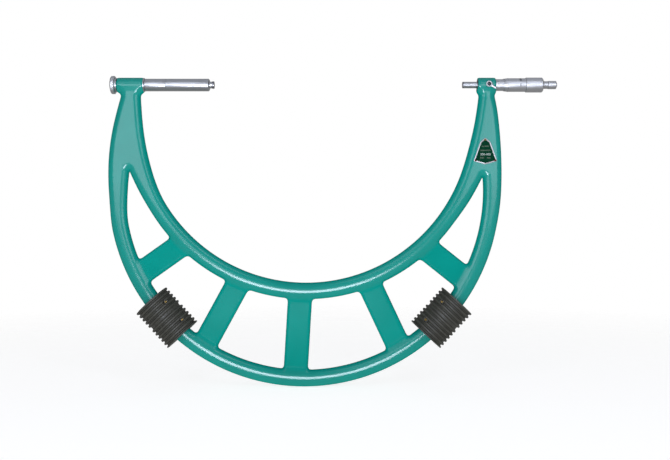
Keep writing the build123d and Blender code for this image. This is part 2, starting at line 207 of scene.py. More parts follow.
def enamel():
    """Glossy green enamel on the rails and arms, duller on the webs set in between them."""
    mat, tree, shader = new_material("enamel", (0.001, 0.28, 0.21), 0.0, 0.6)
    place = tree.nodes.new("ShaderNodeTexCoord")
    split = tree.nodes.new("ShaderNodeSeparateXYZ")
    tree.links.new(place.outputs["Object"], split.inputs["Vector"])
    depth = maths(tree, "ABSOLUTE", split.outputs["Y"])
    tree.links.new(spread(tree, depth, 0.04, 1, 0.0041, 0.0056), shader.inputs["Coat Weight"])
    shader.inputs["Specular IOR Level"].default_value = 0.0
    shader.inputs["Coat Roughness"].default_value = 0.18
    tree.links.new(spread(tree, noise(tree, 60), 0.5, 0.7), shader.inputs["Roughness"])
    colour = shades(tree, spread(tree, noise(tree, 25), 0, 1), (0.001, 0.235, 0.187), (0.002, 0.258, 0.206))
    tree.links.new(colour, shader.inputs["Base Color"])
    bump(tree, shader, noise(tree, 300, 2), 0.0000015)
    bump(tree, shader, noise(tree, 70, 1), 0.000015)
    return mat


def steel(name, colour, roughness, turned_marks=True):
    """Bare metal with fine turning marks round the X axis and a little staining."""
    mat, tree, shader = new_material(name, colour, 1.0, roughness)
    stained = tuple(c * 0.92 for c in colour)
    patches = spread(tree, noise(tree, 90), 0, 1)
    tree.links.new(shades(tree, patches, stained, colour), shader.inputs["Base Color"])
    grain = (1, 0.03, 0.03) if turned_marks else (1, 1, 1)
    rough = spread(tree, noise(tree, 1500, 4, grain), roughness * 0.88, roughness * 1.15)
    tree.links.new(rough, shader.inputs["Roughness"])
    bump(tree, shader, noise(tree, 4000, 2, grain), 0.0000003)
    return mat


def plastic():
    """Black moulded plastic with dust and handling marks."""
    mat, tree, shader = new_material("grip_plastic", (0.048, 0.047, 0.036), 0.0, 0.45)
    dusty = spread(tree, noise(tree, 160, 5), 0, 1, 0.35, 0.75)
    colour = shades(tree, dusty, (0.039, 0.038, 0.03), (0.057, 0.056, 0.043))
    tree.links.new(colour, shader.inputs["Base Color"])
    tree.links.new(spread(tree, noise(tree, 300), 0.4, 0.55), shader.inputs["Roughness"])
    bump(tree, shader, noise(tree, 2500, 2), 0.00003)
    return mat


def print_ink(name, colour):
    """Printed or filled marks, faded in places."""
    mat, tree, shader = new_material(name, colour, 0.0, 0.5)
    faded = tuple(c * 0.8 + 0.02 for c in colour)
    worn = spread(tree, noise(tree, 900), 0, 1)
    tree.links.new(shades(tree, worn, colour, faded), shader.inputs["Base Color"])
    return mat


def green_field():
    """The name plate's dark green print."""
    mat, tree, shader = new_material("plate", (0.002, 0.036, 0.016), 0.0, 0.4)
    shader.inputs["Specular IOR Level"].default_value = 0.0
    colour = shades(tree, spread(tree, noise(tree, 400), 0, 1), (0.002, 0.03, 0.014), (0.004, 0.042, 0.02))
    tree.links.new(colour, shader.inputs["Base Color"])
    tree.links.new(spread(tree, noise(tree, 700), 0.35, 0.5), shader.inputs["Roughness"])
    return mat


LOOKS = {
    "enamel": enamel(),
    "ground_steel": steel("ground_steel", (0.58, 0.59, 0.605), 0.34),
    "satin_chrome": steel("satin_chrome", (0.69, 0.695, 0.71), 0.4),
    "carbide": steel("carbide", (0.33, 0.33, 0.35), 0.2),
    "brass": steel("brass", (0.2, 0.14, 0.05), 0.35, False),
    "rivet": steel("rivet", (0.12, 0.03, 0.02), 0.4, False),
    "aluminium": steel("aluminium", (0.5, 0.49, 0.49), 0.45, False),
    # near-black steel, used as painted shade in the right boss's bore end and in the lock's socket
    "painted_shade_steel": steel("painted_shade_steel", (0.07, 0.07, 0.08), 0.35, False),
    "grip_plastic": plastic(),
    "plate": green_field(),
    "ink": print_ink("ink", (0.02, 0.02, 0.022)),
    "white_print": print_ink("white_print", (0.5, 0.55, 0.5)),
    "faint_print": print_ink("faint_print", (0.2, 0.24, 0.17)),
}
SLOT_OF = {s["node"]: s["material_slot"] for s in frame["record"]["subparts"]}

for name, node in NODES.items():
    node.data.materials.clear()
    node.data.materials.append(LOOKS[SLOT_OF[name]])


# --- meshes --------------------------------------------------------------------------------------------


def piece(name, points, faces, body, slot, look=None, instead_of=(), crease=32):
    """A mesh from points in mm that rides on a CAD body, and stands for the CAD nodes in instead_of."""
    mesh = bpy.data.meshes.new(name)
    mesh.from_pydata((np.asarray(points, float) * MM).tolist(), [], faces)
    work = bmesh.new()
    work.from_mesh(mesh)
    bmesh.ops.recalc_face_normals(work, faces=work.faces)
    work.to_mesh(mesh)
    work.free()
    mesh.shade_smooth()
    mesh.set_sharp_from_angle(angle=math.radians(crease))
    mesh.materials.append(LOOKS[look or slot])
    obj = bpy.data.objects.new(name, mesh)
    bpy.context.scene.collection.objects.link(obj)
    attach(obj, body)
    if instead_of:
        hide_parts(*instead_of)
    return obj


def skinned(rings, ring_closed, loop_closed):
    """Points and quads over rings of shape (rings, points in a ring, 3), with flat ends where open."""
    count, size, _ = rings.shape
    points = rings.reshape(-1, 3)
    faces = []
    for i in range(count if loop_closed else count - 1):
        for j in range(size if ring_closed else size - 1):
            a, b = i * size, (i + 1) % count * size
            k = (j + 1) % size
            faces.append((a + j, a + k, b + k, b + j))
    if not loop_closed:
        faces.append(tuple(range(size)))
        faces.append(tuple((count - 1) * size + j for j in range(size)))
    return points, faces


def broken_edges(outline, size, closed):
    """An outline with each sharp corner eased by up to that size."""
    points = [np.array(p, float) for p in outline]
    eased = []
    for i, here in enumerate(points):
        if not closed and i in (0, len(points) - 1):
            eased.append(here)
            continue
        back, ahead = points[i - 1] - here, points[(i + 1) % len(points)] - here
        long_back, long_ahead = np.linalg.norm(back), np.linalg.norm(ahead)
        turn = math.pi - math.acos(np.clip(back @ ahead / (long_back * long_ahead), -1, 1))
        if turn < 0.25:
            eased.append(here)
            continue
        cut = min(size, 0.4 * long_back, 0.4 * long_ahead)
        before, after = here + back / long_back * cut, here + ahead / long_ahead * cut
        eased += [(1 - t) ** 2 * before + 2 * t * (1 - t) * here + t * t * after for t in (0, 0.33, 0.67, 1)]
    return np.array(eased)


def divided(outline, start, end, step):
    """More points on the parts of an outline that lie between two places along X."""
    out = [outline[0]]
    for a, b in zip(outline, outline[1:]):
        inside = min(a[0], b[0]) >= start and max(a[0], b[0]) <= end
        n = max(1, int(abs(b[0] - a[0]) / step)) if inside else 1
        out += [a + (b - a) * k / n for k in range(1, n + 1)]
    return np.array(out)


def round_x(x, r, angle):
    """Points at a distance r from the X axis. The angle starts at the front and goes up."""
    x, r, angle = np.broadcast_arrays(x, r, angle)
    return np.stack([x, -r * np.cos(angle), r * np.sin(angle)], -1)


def turned(
    name, body, slot, outline, instead_of=(), closed=False, edge=0.2, knurl=None, segments=144, look=None
):
    """A piece turned about X. An open outline is a solid one, with a flat or pointed end at each end.
    knurl is (start, end, step, depth function of x and angle), cut into the outermost surface."""
    chain = broken_edges(outline, edge, closed)
    if knurl:
        start, end, step, depth = knurl
        chain = divided(chain, start, end, step)
    angles = np.arange(segments) / segments * 2 * math.pi
    x, r = chain[:, :1], chain[:, 1:]
    radius = np.repeat(r, segments, axis=1)
    if knurl:
        ramp = np.clip(np.minimum(x - start, end - x) / 0.5, 0, 1)
        outer = r > 0.9 * r.max()
        radius = radius - outer * ramp * depth(x, angles[None, :])
    points, faces = skinned(round_x(x, radius, angles[None, :]), True, closed)
    return piece(name, points, faces, body, slot, look, instead_of)


def straight_knurl(count, depth):
    return lambda x, a: depth * (0.5 - 0.5 * np.cos(count * a)) + 0 * x


def diamond_knurl(count, pitch, depth):
    """Two crossed sets of grooves."""

    def cut(x, a):
        lean = math.pi * x / pitch
        ridges = np.minimum(np.abs(np.sin(count * a / 2 + lean)), np.abs(np.sin(count * a / 2 - lean)))
        return depth * (1 - ridges)

    return cut


def disc_y(name, body, slot, x, z, outline, look=None, instead_of=()):
    """A piece turned about a line along Y through (x, z), from its closed or open (y, radius) outline."""
    closed = outline[0][1] > 0.1
    chain = broken_edges(outline, 0.25, closed)
    angles = np.arange(64) / 64 * 2 * math.pi
    y, r = chain[:, :1], chain[:, 1:]
    rings = np.stack([x + r * np.cos(angles), y + 0 * angles, z + r * np.sin(angles)], -1)
    points, faces = skinned(rings, True, closed)
    return piece(name, points, faces, body, slot, look, instead_of)


def letters(text, size, weight=0.0):
    """Flat lettering: its points (along, up) in mm about its middle, and its faces. Weight thickens it."""
    curve = bpy.data.curves.new("letters", "FONT")
    curve.body = text
    curve.size = size
    curve.offset = weight
    curve.align_x = "CENTER"
    curve.align_y = "CENTER"
    obj = bpy.data.objects.new("letters", curve)
    bpy.context.scene.collection.objects.link(obj)
    mesh = obj.evaluated_get(bpy.context.evaluated_depsgraph_get()).to_mesh()
    points = np.array([v.co[:2] for v in mesh.vertices])
    faces = [tuple(p.vertices) for p in mesh.polygons]
    bpy.data.objects.remove(obj)
    bpy.data.curves.remove(curve)
    return points, faces


class Print:
    """Marks and lettering that are collected into one thin piece."""

    def __init__(self):
        self.points, self.faces, self.count = [], [], 0

    def add(self, points, faces):
        self.faces += [tuple(i + self.count for i in f) for f in faces]
        self.points.append(points)
        self.count += len(points)

    def mark(self, x0, x1, a0, a1, radius):
        """A filled mark on a turned surface, between two places along X and two angles in radians."""
        steps = max(1, math.ceil(abs(a1 - a0) / 0.08))
        angles = np.linspace(a0, a1, steps + 1)[:, None]
        x = np.array([[x0, x1]])
        rows = round_x(x, radius(x), angles)
        quads = [(2 * i, 2 * i + 1, 2 * i + 3, 2 * i + 2) for i in range(steps)]
        self.add(rows.reshape(-1, 3), quads)

    def text(self, text, size, x, angle, radius, upright=False, weight=0.0):
        """Lettering on a turned surface, along X, or round it where upright."""
        flat, faces = letters(text, size, weight)
        along, up = (flat[:, 1], -flat[:, 0]) if upright else (flat[:, 0], flat[:, 1])
        r = radius(x + along)
        self.add(round_x(x + along, r, angle + up / r), faces)

    def piece(self, name, body, slot, look="ink"):
        return piece(name, np.concatenate(self.points), self.faces, body, slot, look)


# --- casting -------------------------------------------------------------------------------------------


def on_circle(centre, radius, degrees):
    """The point, or points, on a circle at that angle from its right."""
    a = np.radians(degrees)
    return np.stack([centre[0] + radius * np.cos(a), centre[1] + radius * np.sin(a)], -1)


def arc(centre, radius, span):
    """Points along an arc between two angles in degrees."""
    count = int(abs(math.radians(span[1] - span[0])) * radius / CURVE_STEP)
    return on_circle(centre, radius, np.linspace(span[0], span[1], count))


def heading(degrees, way):
    """The direction along a circle at that angle, anticlockwise where way is 1."""
    return on_circle((0, 0), 1, degrees + way * 90)


def spline(points, start, end):
    """A smooth curve through the points that leaves and arrives in the given directions."""
    p = np.array(points, float)
    h = np.linalg.norm(np.diff(p, axis=0), axis=1)
    count = len(p)
    system = np.eye(count)
    slopes = np.zeros((count, 2))
    slopes[0] = np.array(start) / np.linalg.norm(start)
    slopes[-1] = np.array(end) / np.linalg.norm(end)
    for i in range(1, count - 1):
        system[i, i - 1 : i + 2] = h[i], 2 * (h[i - 1] + h[i]), h[i - 1]
        slopes[i] = 3 * (h[i] * (p[i] - p[i - 1]) / h[i - 1] + h[i - 1] * (p[i + 1] - p[i]) / h[i])
    m = np.linalg.solve(system, slopes)
    curve = []
    for i in range(count - 1):
        t = np.linspace(0, 1, max(2, int(h[i] / CURVE_STEP)), endpoint=False)[:, None]
        ends = (1 + 2 * t) * (1 - t) ** 2 * p[i] + t * t * (3 - 2 * t) * p[i + 1]
        curve.append(ends + t * (1 - t) ** 2 * h[i] * m[i] + t * t * (t - 1) * h[i] * m[i + 1])
    return np.concatenate(curve + [p[-1:]])


def outline():
    """The frame's outer edge."""
    left_foot, right_foot = (on_circle(OUTER, OUTER_R, a) for a in OUTER_ARC)
    throat_right, throat_left = (on_circle(THROAT, THROAT_R, a) for a in THROAT_ARC)
    right_out = [right_foot, *RIGHT_ARM_OUT, RIGHT_NECK[1]]
    right_in = [RIGHT_NECK[0], *RIGHT_ARM_IN, throat_right]
    left_in = [throat_left, *LEFT_ARM_IN, LEFT_NECK[0]]
    left_out = [LEFT_NECK[1], *LEFT_ARM_OUT, left_foot]
    return np.concatenate(
        [
            arc(OUTER, OUTER_R, OUTER_ARC),
            spline(right_out, heading(OUTER_ARC[1], 1), (-0.35, 1)),
            spline(right_in, (-0.12, -1), heading(THROAT_ARC[0], -1)),
            arc(THROAT, THROAT_R, THROAT_ARC),
            spline(left_in, heading(THROAT_ARC[1], -1), (-0.05, 1)),
            spline(left_out, (-0.28, -1), heading(OUTER_ARC[0], 1)),
        ]
    )


def crescent():
    """The edge of the hole between the two rails."""
    outside_r = OUTER_R - OUTER_RAIL_W
    inside_r = THROAT_R + INNER_RAIL_W
    inner_right, inner_left = (on_circle(THROAT, inside_r, a) for a in CRESCENT_IN)
    right_side = [on_circle(OUTER, outside_r, CRESCENT_OUT[1]), RIGHT_APEX_SIDE, inner_right]
    left_side = [inner_left, LEFT_APEX_SIDES[0], LEFT_APEX]
    last_side = [LEFT_APEX, LEFT_APEX_SIDES[1], on_circle(OUTER, outside_r, CRESCENT_OUT[0])]
    return np.concatenate(
        [
            arc(OUTER, outside_r, CRESCENT_OUT),
            spline(right_side, (-0.5, -1), heading(CRESCENT_IN[0], -1)),
            arc(THROAT, inside_r, CRESCENT_IN),
            spline(left_side, heading(CRESCENT_IN[1], -1), (-0.42, 1)),
            spline(last_side, (-0.12, -1), heading(CRESCENT_OUT[0], 1)),
        ]
    )


PLAN = [outline(), crescent()]


def plan_distance(x, z):
    """How far each place is from the plan's edge, negative on the metal."""
    best = np.full(x.shape, 1e9)
    inside = np.zeros(x.shape, bool)
    for loop in PLAN:
        for (ax, az), (bx, bz) in zip(loop, np.roll(loop, -1, axis=0)):
            ex, ez = bx - ax, bz - az
            length2 = ex * ex + ez * ez
            if length2 < 1e-9:
                continue
            wx, wz = x - ax, z - az
            t = np.clip((wx * ex + wz * ez) / length2, 0, 1)
            best = np.minimum(best, (wx - t * ex) ** 2 + (wz - t * ez) ** 2)
            if az != bz:
                inside ^= ((az > z) != (bz > z)) & (wx < wz * ex / ez)
    return np.where(inside, -1, 1) * np.sqrt(best)


def rounded(a, b, radius):
    """Where two distances meet at a corner, rounded off."""
    a, b = a + radius, b + radius
    return np.minimum(np.maximum(a, b), 0) + np.hypot(np.maximum(a, 0), np.maximum(b, 0)) - radius


def merged(a, b, blend):
    """Two distances joined with a fillet."""
    near = np.maximum(blend - np.abs(a - b), 0) / blend
    return np.minimum(a, b) - near * near * blend / 4


def edge_depth(distance):
    """The plan's distance stretched so that the rails' sides come out as half ellipses."""
    return (distance + EDGE_W) * (EDGE_H / EDGE_W) - EDGE_H


def face_height(x, z):
    """How far the painted face stands from the frame's middle plane at each place."""
    sunk = np.clip(edge_depth(plan_distance(x, z)) + EDGE_H, 0, EDGE_H * 0.995)
    return FRAME_T / 2 - EDGE_H + np.sqrt(EDGE_H**2 - sunk**2)


def spoke_distance(x, y, z, degrees):
    a = math.radians(degrees)
    ray = (math.sin(a), -math.cos(a))

    def reach(centre, radius):
        dx, dz = HUB[0] - centre[0], HUB[1] - centre[1]
        b = dx * ray[0] + dz * ray[1]
        return -b + math.sqrt(b * b - dx * dx - dz * dz + radius * radius)

    near = reach(THROAT, THROAT_R + INNER_RAIL_W / 2)
    far = reach(OUTER, OUTER_R - OUTER_RAIL_W / 2)
    along = (x - HUB[0]) * ray[0] + (z - HUB[1]) * ray[1]
    across = (x - HUB[0]) * ray[1] - (z - HUB[1]) * ray[0]
    side = np.maximum(np.abs(along - (near + far) / 2) - (far - near) / 2, np.abs(across) - SPOKE_W / 2)
    return rounded(side, np.abs(y) - SPOKE_T / 2, SPOKE_EDGE_R)


def casting_distance(x, y, z):
    """The whole casting as a distance field."""
    flat = plan_distance(*np.broadcast_arrays(x[:, 0], z[:, 0]))[:, None, :]
    solid = rounded(edge_depth(flat), np.abs(y) - FRAME_T / 2, EDGE_H)
    for degrees in SPOKE_ANGLES:
        solid = merged(solid, spoke_distance(x, y, z, degrees), SPOKE_BLEND)
    round_about = np.hypot(y, z)
    for start, end, bore in ((LEFT_BOSS[0], LEFT_BOSS[1] - SPOT_FACE, 5.8), (*RIGHT_BOSS, 6.5)):
        length = np.abs(x - (start + end) / 2) - (end - start) / 2
        solid = merged(solid, rounded(round_about - BOSS_R, length, BOSS_EDGE), BOSS_BLEND)
        solid = np.maximum(solid, np.minimum(bore - round_about, 20 - length))
        solid = np.maximum(solid, -np.maximum(round_about - bore, length - 8))
    return solid


def sample(field, at):
    """A field's value at places given in grid steps."""
    low = np.floor(at).astype(int)
    part = at - low
    total = 0
    for corner in np.ndindex(2, 2, 2):
        share = np.prod(np.where(corner, part, 1 - part), axis=1)
        total = total + share * field[tuple((low + corner).T)]
    return total


def casting():
    """The painted casting as one smooth skin, in place of the CAD frame."""
    x = np.arange(-136, 360, VOXEL)[:, None, None]
    y = (np.arange(19) - 9)[None, :, None] * VOXEL
    z = np.arange(-378, 13, VOXEL)[None, None, :]
    field = np.clip(casting_distance(x, y, z), -3 * VOXEL, 3 * VOXEL)
    grid = openvdb.FloatGrid(3 * VOXEL)
    grid.copyFromArray(np.ascontiguousarray(field, np.float32))
    points, _, quads = grid.convertToPolygons(isovalue=0.0)
    points = points.astype(float)
    slope = np.stack([sample(part, points) for part in np.gradient(field)], -1)
    normals = slope / np.linalg.norm(slope, axis=1, keepdims=True)
    corner = points[quads[:, :3]]
    facing = np.cross(corner[:, 1] - corner[:, 0], corner[:, 2] - corner[:, 0])
    if np.sum(facing * normals[quads[:, 0]]) < 0:
        quads = quads[:, ::-1]
    mesh = bpy.data.meshes.new("casting")
    origin = np.array([x[0, 0, 0], y[0, 0, 0], z[0, 0, 0]])
    mesh.from_pydata(((points * VOXEL + origin) * MM).tolist(), [], quads.tolist())
    mesh.shade_smooth()
    mesh.normals_split_custom_set_from_vertices(normals.tolist())
    mesh.materials.append(LOOKS["enamel"])
    obj = bpy.data.objects.new("casting", mesh)
    bpy.context.scene.collection.objects.link(obj)
    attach(obj, "frame_body")
    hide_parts("frame")


def boss_rings():
    """The bare bore of the left boss with the turned band where it faces the throat, and the right boss's
    bore, near-black as painted shade at that boss's throat end.
    """
    start, end = LEFT_BOSS
    bore = SHANK_R + 0.08
    band = end - SPOT_FACE - 0.4
    ring = [(start + 0.1, bore), (start + 0.1, 6.3), (band, 6.3), (band, 8.75)]
    ring += [(end - 0.5, 8.6), (end, 8.0), (end, bore)]
    turned("left_bore", "frame_body", "ground_steel", ring, closed=True)
    start, end = RIGHT_BOSS
    ring = [(start + 0.1, 4.3), (start + 0.1, 6.9), (end - 0.1, 6.9)]
    ring += [(end - 0.1, 6.05), (start + 2, 6.05), (start + 2, 4.3)]
    # near-black look: painted shade on the right boss's throat end
    turned("right_bore", "frame_body", "ground_steel", ring, closed=True, look="painted_shade_steel")


# --- anvil ---------------------------------------------------------------------------------------------


def anvil():
    boss_start, boss_end = LEFT_BOSS
    shoulder = ANVIL_SHOULDER
    shank = [(boss_start - 6.9, 3.4), (boss_start - 6.3, 4)]
    shank += [(boss_start + 0.5, 4), (boss_start + 0.5, SHANK_R)]
    body = [(shoulder, SHANK_R), (shoulder, ANVIL_R), (-7.0, ANVIL_R), (-5.8, 6.4), (-5.8, 4.2), (-2.4, 4.2)]
    turned("anvil_bar", "anvil", "ground_steel", shank + body, ["anvil_rod"])
    collar = [(boss_end + 0.35, SHANK_R + 0.02), (boss_end + 0.35, ANVIL_R)]
    collar += [(shoulder - 0.1, ANVIL_R), (shoulder - 0.1, SHANK_R + 0.02)]
    turned("anvil_spacer", "anvil", "ground_steel", collar, ["anvil_collar"], True)
    tip = [(-2.4, 4.35), (-2.1, 4.6), (-0.3, 4.6), (0, 4.3)]
    turned("anvil_face", "anvil", "carbide", tip, ["anvil_tip"], edge=0.1)
    washer_start = boss_start - 2.1
    washer = [(washer_start, 4.15), (washer_start, 8.6), (boss_start - 0.05, 8.6), (boss_start - 0.05, 4.15)]
    turned("boss_washer", "washer", "ground_steel", washer, ["anvil_washer"], True, edge=0.35)
    face = boss_start - 2.15
    rim = face - 4.2
    dome = [(rim - 0.9 - 1.8 * (1 - (r / 10.25) ** 2), r) for r in (0.2, 2, 4, 6, 8, 9.5)]
    nut = dome + [(rim - 0.9, 10.25), (rim, 11.15), (face - 0.8, 11.15)]
    nut += [(face, 10.35), (face, 4.05), (face - 5.2, 4.05)]
    knurl = (rim + 0.2, face - 1.0, 0.4, straight_knurl(72, 0.12))
    turned("thumb_nut", "nut", "satin_chrome", nut, ["anvil_nut"], edge=0.3, knurl=knurl, segments=432)


# --- spindle, sleeve and thimble -----------------------------------------------------------------------


def bevel_radius(x):
    """The thimble's radius along X, with its bevelled edge."""
    along = np.clip((x - THIMBLE_EDGE) / BEVEL_LEN, 0, 1)
    return BEVEL_R + along * (THIMBLE_R - BEVEL_R)


def spindle():
    face = SPINDLE_FACE
    turned("spindle_bar", "spindle", "ground_steel", [(face + 1.6, 4), (THIMBLE_END - 0.3, 4)], ["spindle"])
    tip = [(face, 3.75), (face + 0.25, 4.0), (face + 1.55, 4.0), (face + 1.6, 3.95)]
    turned("spindle_face", "spindle", "carbide", tip, ["spindle_tip"], edge=0.08)


def sleeves():
    start, end = RIGHT_BOSS[0] + 1.0, 386.0
    inner = [(start, 4.05), (start, 6.0), (end, 6.0), (end, 4.05)]
    turned("sleeve_inner", "frame_body", "ground_steel", inner, ["inner_sleeve"], True)
    start, end = RIGHT_BOSS[1] + 0.02, 379.5
    outer = [(start, 6.02), (start, SLEEVE_R), (end, SLEEVE_R), (end, 6.02)]
    turned("sleeve_outer", "frame_body", "satin_chrome", outer, ["outer_sleeve"], True)


def thimble():
    seat, end, wall = GRIP_START, THIMBLE_END - 0.6, THIMBLE_END - 10
    drum = [(THIMBLE_EDGE, 7.5), (THIMBLE_EDGE, BEVEL_R), (THIMBLE_EDGE + BEVEL_LEN, THIMBLE_R)]
    drum += [(seat, THIMBLE_R), (seat, 7.8), (end, 7.8), (end, 4.05), (wall, 4.05), (wall, 7.5)]
    turned("thimble_drum", "thimble", "satin_chrome", drum, ["thimble"], True, edge=0.12)
    grip = [(seat + 0.05, 7.8), (seat + 0.05, GRIP_R - 0.4), (seat + 0.45, GRIP_R)]
    grip += [(THIMBLE_END - 1.3, GRIP_R), (THIMBLE_END, GRIP_R - 1.3), (THIMBLE_END, 7.8)]
    knurl = (seat + 1.2, THIMBLE_END - 1.9, 0.2, diamond_knurl(66, 0.95, 0.3))
    turned(
        "thimble_knurl",
        "thimble",
        "satin_chrome",
        grip,
        ["thimble_grip"],
        True,
        edge=0.15,
        knurl=knurl,
        segments=396,
    )


def ratchet():
    start = THIMBLE_END + 0.1
    neck = start + 6.1
    stem = [(start, 4.9), (start + 0.3, 5.3), (start + 0.8, 5.3), (start + 1.2, 4.7)]
    stem += [(neck, 4.7), (neck, 1.6), (KNOB_END - 0.3, 1.6)]
    turned("ratchet_neck", "thimble", "satin_chrome", stem, ["ratchet_stem"])
    knob = [(KNOB_START, 3.5), (KNOB_START, KNOB_R - 0.4), (KNOB_START + 0.4, KNOB_R)]
    knob += [(KNOB_END - 0.6, KNOB_R), (KNOB_END, KNOB_R - 0.6)]
    knob += [(KNOB_END, 1.65), (KNOB_END - 3, 1.65), (KNOB_END - 3, 3.5)]
    knurl = (KNOB_START + 1.0, KNOB_END - 1.4, 0.2, diamond_knurl(36, 0.9, 0.22))
    turned("ratchet_grip", "ratchet", "satin_chrome", knob, ["ratchet_knob"], True, knurl=knurl, segments=288)


def thimble_scale():
    """Fifty divisions on the bevel, numbered by fives, and the value of one division on the drum."""
    ink = Print()

    def radius(x):
        return bevel_radius(x) + 0.02

    for i in range(50):
        angle = math.tau * i / 50
        length = 3.4 if i % 5 == 0 else 2.0
        ink.mark(THIMBLE_EDGE + 0.15, THIMBLE_EDGE + length, angle - 0.009, angle + 0.009, radius)
        if i % 5 == 0:
            ink.text(str(i), 1.9, THIMBLE_EDGE + 5.0, angle, lambda x: bevel_radius(x) + 0.06, True)
    drum = THIMBLE_EDGE + 20.5
    for text, size, angle, weight in (("0.01", 3.2, 48, 0.16), ("mm", 2.4, -6, 0.08)):
        ink.text(text, size, drum, math.radians(angle), lambda x: bevel_radius(x) + 0.08, True, weight)
    ink.piece("thimble_scale", "thimble", "satin_chrome")


def sleeve_scale():
    """Twenty-five millimetres and their halves along a datum line, numbered by fives."""
    ink = Print()

    def radius(x):
        return SLEEVE_R + 0.015 + 0 * x

    zero = RIGHT_BOSS[1] + 2.2
    ink.mark(zero - 1.6, zero + 26, -0.009, 0.009, radius)
    for i in range(51):
        x = zero + i / 2
        if i % 2:
            ink.mark(x - 0.05, x + 0.05, -0.24, 0, radius)
            continue
        length = 0.36 if i % 10 == 0 else 0.24
        ink.mark(x - 0.05, x + 0.05, 0, length, radius)
        if i % 10 == 0:
            ink.text(str(i // 2), 1.7, x, 0.52, lambda x: SLEEVE_R + 0.05 + 0 * x)
    ink.piece("sleeve_scale", "frame_body", "satin_chrome")


# --- spindle lock --------------------------------------------------------------------------------------


def lock():
    """The lock screw's ring, its bolt and the lever, which tapers to a rounded end."""
    ring = [(-9.6, 2.45), (-9.6, 3.4), (-9.8, 3.75), (-11.9, 3.75)]
    ring += [(-12.2, 3.4), (-12.2, 2.7), (-11.9, 2.45)]
    disc_y("lock_ring", "lock", "satin_chrome", LOCK_X, 0, ring, None, ["lock_lever"])
    screw = [(-6.7, 0.05), (-6.7, 2.2), (-10.3, 2.2), (-10.6, 1.9)]
    screw += [(-10.6, 1.3), (-9.6, 1.2), (-9.6, 0.05)]
    # near-black bolt: painted shade in the socket of the lock ring
    disc_y("lock_bolt", "lock", "ground_steel", LOCK_X, 0, screw, "painted_shade_steel", ["lock_screw"])
    a = math.radians(LEVER_ANGLE)
    around = np.arange(24) / 24 * 2 * math.pi
    rings = []
    for along, half_width, half_depth in (
        (2.9, 1.75, 0.95),
        (5.0, 1.45, 0.9),
        (8.0, 1.2, 0.8),
        (10.0, 1.05, 0.7),
        (10.7, 0.75, 0.5),
        (10.98, 0.3, 0.2),
    ):
        across = half_width * np.sign(np.cos(around)) * np.abs(np.cos(around)) ** 0.6
        deep = -10.6 + half_depth * np.sign(np.sin(around)) * np.abs(np.sin(around)) ** 0.6
        x = LOCK_X + along * math.cos(a) - across * math.sin(a)
        z = along * math.sin(a) + across * math.cos(a)
        rings.append(np.stack([x, deep, z], -1))
    points, faces = skinned(np.array(rings), True, False)
    piece("lock_arm", points, faces, "lock", "satin_chrome", crease=50)


# --- name plate ----------------------------------------------------------------------------------------


def inset(corners, distance):
    """A convex outline moved inwards."""
    moved = []
    middle = np.mean(corners, axis=0)
    lines = []
    for a, b in zip(corners, np.roll(corners, -1, axis=0)):
        side = (b - a) / np.linalg.norm(b - a)
        normal = np.array([-side[1], side[0]])
        normal *= np.sign(normal @ (middle - a))
        lines.append((a + normal * distance, side))
    for (p, u), (q, v) in zip([lines[-1]] + lines, lines):
        s = ((q - p)[0] * v[1] - (q - p)[1] * v[0]) / (u[0] * v[1] - u[1] * v[0])
        moved.append(p + u * s)
    return np.array(moved[: len(corners)])


def on_face(x, z, lift):
    """Points that lie that far in front of the painted face."""
    return np.stack([x, -face_height(x, z) - lift, z], -1)


def plate_layer(name, corners, corner, low, high, slot, look, instead_of=()):
    """A thin layer with that outline, bent to the casting's face."""
    edge = broken_edges(corners, corner, True)
    fine = []
    for a, b in zip(edge, np.roll(edge, -1, axis=0)):
        steps = max(1, int(np.linalg.norm(b - a) / 1.5))
        fine += [a + (b - a) * k / steps for k in range(steps)]
    fine = np.array(fine)
    middle = fine.mean(axis=0)
    rings = [on_face(*fine.T, low)]
    for share, lift in ((1, high - 0.12), (0.985, high), (0.8, high), (0.6, high), (0.4, high), (0.2, high)):
        ring = middle + (fine - middle) * share
        rings.append(on_face(*ring.T, lift))
    points, faces = skinned(np.array(rings), True, False)
    return piece(name, points, faces, "frame_body", slot, look, instead_of)


def name_plate():
    """A bare border, the green field in it, and four rows of print."""
    corners = np.array([(PLATE_X + x, z) for x, z in PLATE], float)
    plate_layer("plate_border", corners, 1.6, -0.3, 0.7, "plate", "aluminium", ["name_plate"])
    plate_layer("plate_field", inset(corners, PLATE_BORDER), 1.0, 0.4, 0.74, "plate", "plate")
    small, large = Print(), Print()
    for ink, text, size, z in (
        (small, "OUTSIDE", 2.1, -76.7),
        (small, "MICROMETER", 2.0, -81.7),
        (large, "300-400", 3.9, -86.6),
        (small, "0.01    mm", 2.9, -90.8),
    ):
        flat, faces = letters(text, size)
        ink.add(on_face(PLATE_X + flat[:, 0], z + flat[:, 1], 0.78), faces)
    small.piece("plate_small_print", "frame_body", "plate", "faint_print")
    large.piece("plate_large_print", "frame_body", "plate", "white_print")


def rivets():
    """Round-headed drive pins: one at the plate's top and two at its lower corners."""
    places = [(PLATE_X, -68.5, "brass"), (PLATE_X - 11.9, -93.7, "rivet"), (PLATE_X + 11.9, -93.7, "rivet")]
    for number, (x, z, look) in enumerate(places, 1):
        face = -float(face_height(np.array([x]), np.array([z]))[0]) - 0.7
        dome = [(face + 0.5, 0.05), (face + 0.5, 1.35), (face - 0.1, 1.35), (face - 0.45, 1.05)]
        dome += [(face - 0.65, 0.6), (face - 0.7, 0.05)]
        instead_of = ["plate_rivets"] if number == 1 else []
        disc_y(f"plate_pin_{number}", "frame_body", "rivet", x, z, dome, look, instead_of)


# --- hand grips ----------------------------------------------------------------------------------------


